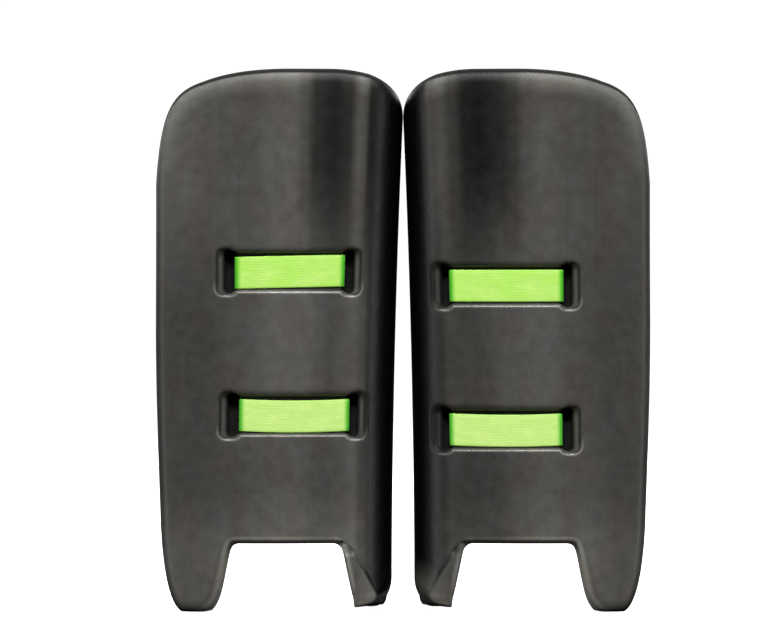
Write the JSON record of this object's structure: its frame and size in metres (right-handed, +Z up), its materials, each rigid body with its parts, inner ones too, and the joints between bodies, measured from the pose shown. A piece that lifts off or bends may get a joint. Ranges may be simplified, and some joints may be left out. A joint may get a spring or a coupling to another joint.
{
  "type": "leg guard pair",
  "caption": "Moulded foam shin guards for a goalkeeper, a mirrored pair with a wrapped inner side, a foot notch and buckled webbing straps laid in recesses.",
  "frame": {"origin": "on the ground, at the middle of the pair's bounding box", "axes": "+Z up along the shin, +X from the right leg's guard to the left leg's guard, -Y the face towards the ball"},
  "size_m": [0.59, 0.2269, 0.642],
  "materials": {
    "moulded_foam": "satin",
    "soft_lining": "matte",
    "green_webbing": "matte",
    "black_plastic": "satin"
  },
  "bodies": {
    "right_leg_guard": {"right_leg_shell": "moulded_foam", "right_leg_shin_pad": "soft_lining", "right_leg_bolster_upper": "soft_lining", "right_leg_bolster_middle": "soft_lining", "right_leg_bolster_lower": "soft_lining", "right_leg_upper_strap_main": "green_webbing", "right_leg_upper_buckle_socket": "black_plastic", "right_leg_lower_strap_main": "green_webbing", "right_leg_lower_buckle_socket": "black_plastic"},
    "left_leg_guard": {"left_leg_shell": "moulded_foam", "left_leg_shin_pad": "soft_lining", "left_leg_bolster_upper": "soft_lining", "left_leg_bolster_middle": "soft_lining", "left_leg_bolster_lower": "soft_lining", "left_leg_upper_strap_main": "green_webbing", "left_leg_upper_buckle_socket": "black_plastic", "left_leg_lower_strap_main": "green_webbing", "left_leg_lower_buckle_socket": "black_plastic"},
    "right_leg_upper_swing": {"right_leg_upper_strap_outer": "green_webbing", "right_leg_upper_strap_keeper": "black_plastic", "right_leg_upper_buckle_clip": "black_plastic"},
    "right_leg_upper_arm_a": {"right_leg_upper_clip_arm_a": "black_plastic"},
    "right_leg_upper_arm_b": {"right_leg_upper_clip_arm_b": "black_plastic"},
    "right_leg_lower_swing": {"right_leg_lower_strap_outer": "green_webbing", "right_leg_lower_strap_keeper": "black_plastic", "right_leg_lower_buckle_clip": "black_plastic"},
    "right_leg_lower_arm_a": {"right_leg_lower_clip_arm_a": "black_plastic"},
    "right_leg_lower_arm_b": {"right_leg_lower_clip_arm_b": "black_plastic"},
    "left_leg_upper_swing": {"left_leg_upper_strap_outer": "green_webbing", "left_leg_upper_strap_keeper": "black_plastic", "left_leg_upper_buckle_clip": "black_plastic"},
    "left_leg_upper_arm_a": {"left_leg_upper_clip_arm_a": "black_plastic"},
    "left_leg_upper_arm_b": {"left_leg_upper_clip_arm_b": "black_plastic"},
    "left_leg_lower_swing": {"left_leg_lower_strap_outer": "green_webbing", "left_leg_lower_strap_keeper": "black_plastic", "left_leg_lower_buckle_clip": "black_plastic"},
    "left_leg_lower_arm_a": {"left_leg_lower_clip_arm_a": "black_plastic"},
    "left_leg_lower_arm_b": {"left_leg_lower_clip_arm_b": "black_plastic"}
  },
  "joints": [
    {"name": "pair_slide", "type": "slide", "parent": "right_leg_guard", "child": "left_leg_guard", "axis": [1, 0, 0], "range_m": [0, 0.3]},
    {"name": "right_leg_upper_strap_swing", "type": "hinge", "parent": "right_leg_guard", "child": "right_leg_upper_swing", "pos_m": [-0.19859, -0.03426, 0.3982], "axis": [0, 0, 1], "range_deg": [0, 65]},
    {"name": "right_leg_upper_arm_a_press", "type": "hinge", "parent": "right_leg_upper_swing", "child": "right_leg_upper_arm_a", "pos_m": [-0.12201, 0.09785, 0.4152], "axis": [0.5015, 0.8652, 0], "range_deg": [0, 6], "stiffness_Nm_per_rad": 0.05, "springref_deg": -2.86},
    {"name": "right_leg_upper_arm_b_press", "type": "hinge", "parent": "right_leg_upper_swing", "child": "right_leg_upper_arm_b", "pos_m": [-0.12201, 0.09785, 0.3812], "axis": [-0.5015, -0.8652, 0], "range_deg": [0, 6], "stiffness_Nm_per_rad": 0.05, "springref_deg": -2.86},
    {"name": "right_leg_lower_strap_swing", "type": "hinge", "parent": "right_leg_guard", "child": "right_leg_lower_swing", "pos_m": [-0.19447, -0.04696, 0.22598], "axis": [0, 0, 1], "range_deg": [0, 65]},
    {"name": "right_leg_lower_arm_a_press", "type": "hinge", "parent": "right_leg_lower_swing", "child": "right_leg_lower_arm_a", "pos_m": [-0.11789, 0.08515, 0.24298], "axis": [0.5015, 0.8652, 0], "range_deg": [0, 6], "stiffness_Nm_per_rad": 0.05, "springref_deg": -2.86},
    {"name": "right_leg_lower_arm_b_press", "type": "hinge", "parent": "right_leg_lower_swing", "child": "right_leg_lower_arm_b", "pos_m": [-0.11789, 0.08515, 0.20898], "axis": [-0.5015, -0.8652, 0], "range_deg": [0, 6], "stiffness_Nm_per_rad": 0.05, "springref_deg": -2.86},
    {"name": "left_leg_upper_strap_swing", "type": "hinge", "parent": "left_leg_guard", "child": "left_leg_upper_swing", "pos_m": [0.18773, -0.0355, 0.38144], "axis": [0, 0, -1], "range_deg": [0, 65]},
    {"name": "left_leg_upper_arm_a_press", "type": "hinge", "parent": "left_leg_upper_swing", "child": "left_leg_upper_arm_a", "pos_m": [0.11115, 0.0966, 0.39844], "axis": [0.5015, -0.8652, 0], "range_deg": [0, 6], "stiffness_Nm_per_rad": 0.05, "springref_deg": -2.86},
    {"name": "left_leg_upper_arm_b_press", "type": "hinge", "parent": "left_leg_upper_swing", "child": "left_leg_upper_arm_b", "pos_m": [0.11115, 0.0966, 0.36444], "axis": [-0.5015, 0.8652, 0], "range_deg": [0, 6], "stiffness_Nm_per_rad": 0.05, "springref_deg": -2.86},
    {"name": "left_leg_lower_strap_swing", "type": "hinge", "parent": "left_leg_guard", "child": "left_leg_lower_swing", "pos_m": [0.18788, -0.04925, 0.2087], "axis": [0, 0, -1], "range_deg": [0, 65]},
    {"name": "left_leg_lower_arm_a_press", "type": "hinge", "parent": "left_leg_lower_swing", "child": "left_leg_lower_arm_a", "pos_m": [0.1113, 0.08286, 0.2257], "axis": [0.5015, -0.8652, 0], "range_deg": [0, 6], "stiffness_Nm_per_rad": 0.05, "springref_deg": -2.86},
    {"name": "left_leg_lower_arm_b_press", "type": "hinge", "parent": "left_leg_lower_swing", "child": "left_leg_lower_arm_b", "pos_m": [0.1113, 0.08286, 0.1917], "axis": [-0.5015, 0.8652, 0], "range_deg": [0, 6], "stiffness_Nm_per_rad": 0.05, "springref_deg": -2.86}
  ],
  "couplings": [
    {"joint": "right_leg_upper_arm_b_press", "follows": "right_leg_upper_arm_a_press", "ratio": 1},
    {"joint": "right_leg_lower_arm_b_press", "follows": "right_leg_lower_arm_a_press", "ratio": 1},
    {"joint": "left_leg_upper_arm_b_press", "follows": "left_leg_upper_arm_a_press", "ratio": 1},
    {"joint": "left_leg_lower_arm_b_press", "follows": "left_leg_lower_arm_a_press", "ratio": 1}
  ]
}
